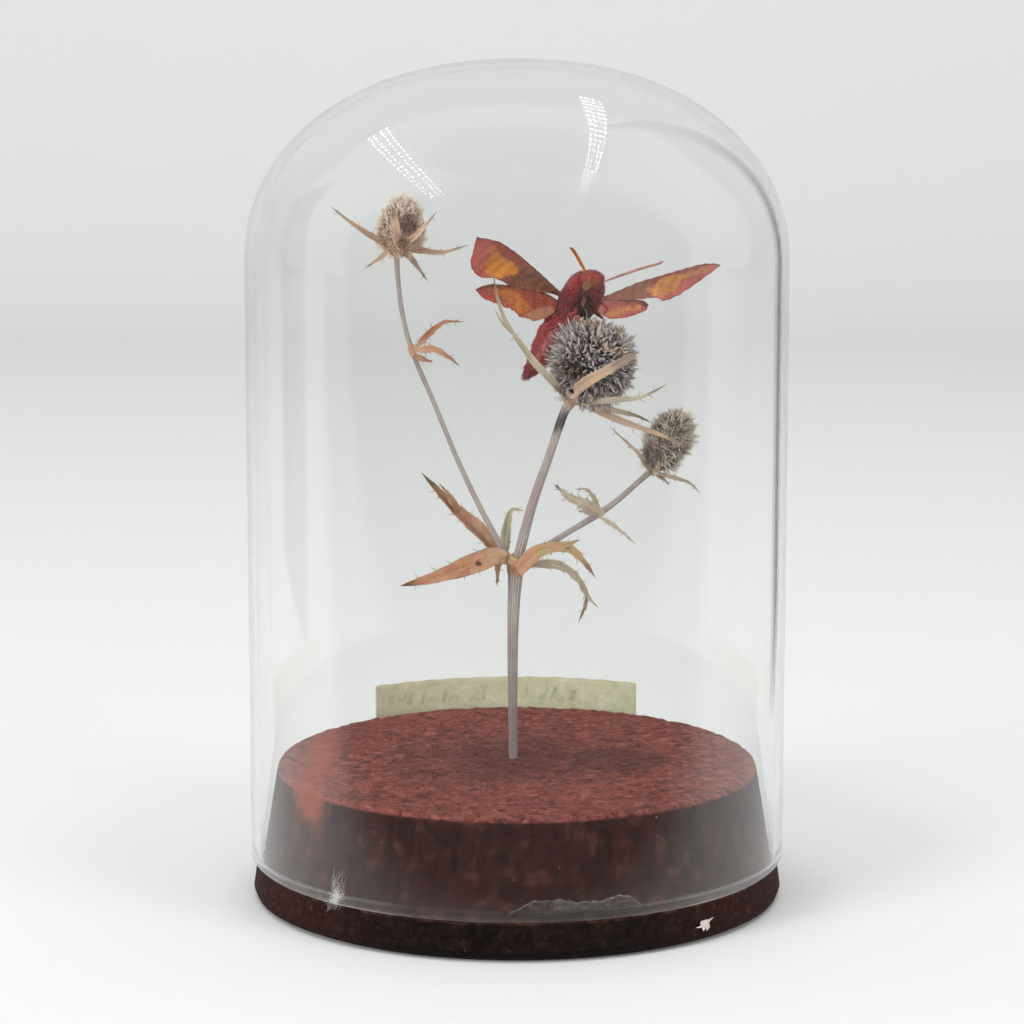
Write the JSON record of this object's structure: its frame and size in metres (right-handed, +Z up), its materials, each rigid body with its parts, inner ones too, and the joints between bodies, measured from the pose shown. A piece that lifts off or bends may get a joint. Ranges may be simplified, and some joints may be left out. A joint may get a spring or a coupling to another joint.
{
  "type": "mounted insect in a glass dome",
  "caption": "Dried hawk moth resting on a branched stem of spiny flower heads, set in a tapered cork stopper under a round-topped clear glass dome, for display.",
  "frame": {"origin": "centre of the cork's flat underside", "axes": "+Z up along the dome's axis, -Y towards the front, from which the moth's underside and face are seen, +X to the viewer's right"},
  "size_m": [0.1, 0.1005, 0.1558],
  "materials": {
    "cork": "pressed reddish-brown cork granules, matt",
    "clear_glass": "clear blown glass, polished",
    "paper": "aged cream paper, matt",
    "stem": "dried ridged stem, grey-lilac",
    "dry_leaf": "dried leaf, orange-brown",
    "pale_leaf": "dried leaf, pale grey-green",
    "bract": "dried bract, tan",
    "flower": "dried florets, blue-grey",
    "seed_head": "dried spiny florets, beige-grey",
    "moth_fur": "rose-pink fur",
    "moth_wing": "scaled wing, rose with an orange-yellow band",
    "antenna": "orange-brown",
    "leg": "brown",
    "glue": "dried clear glue, cloudy",
    "lint": "white fibres"
  },
  "bodies": {
    "root": {"cork_base": "cork", "glass_dome": "clear_glass", "paper_label": "paper", "glue_bead": "glue", "lint_tuft": "lint", "paper_flake": "lint", "stem_main": "stem", "stem_left_branch": "stem", "stem_middle_branch": "stem", "stem_right_branch": "stem", "leaf_fork_upper_left": "dry_leaf", "leaf_fork_lower_left": "dry_leaf", "leaf_fork_upright": "pale_leaf", "leaf_fork_hanging": "dry_leaf", "leaf_fork_upper_right": "dry_leaf", "leaf_fork_lower_right": "pale_leaf", "leaf_left_joint_rising": "bract", "leaf_left_joint_falling": "bract", "leaf_left_joint_stub": "dry_leaf", "leaf_right_joint_broad": "pale_leaf", "leaf_right_joint_thin": "pale_leaf", "leaf_right_joint_short": "pale_leaf", "leaf_right_joint_trailing": "pale_leaf", "bract_left_head_long": "bract", "bract_left_head_front": "bract", "bract_left_head_right_rising": "bract", "bract_left_head_right": "bract", "bract_left_head_falling_right": "bract", "bract_left_head_falling_left": "bract", "bract_middle_head_long": "pale_leaf", "bract_middle_head_front": "bract", "bract_middle_head_right": "pale_leaf", "bract_middle_head_lower": "pale_leaf", "bract_middle_head_back": "pale_leaf", "bract_right_head_rising": "bract", "bract_right_head_falling": "pale_leaf", "bract_right_head_front": "bract", "bract_right_head_short": "pale_leaf", "head_left": "seed_head", "head_middle": "flower", "head_right": "seed_head", "moth_body": "moth_fur", "moth_right_forewing": "moth_wing", "moth_left_forewing": "moth_wing", "moth_right_hindwing": "moth_wing", "moth_left_hindwing": "moth_wing", "moth_right_antenna": "antenna", "moth_left_antenna": "antenna", "moth_right_foreleg": "leg", "moth_left_foreleg": "leg", "moth_right_midleg": "leg", "moth_left_midleg": "leg", "moth_right_hindleg": "leg", "moth_left_hindleg": "leg"}
  },
  "joints": []
}
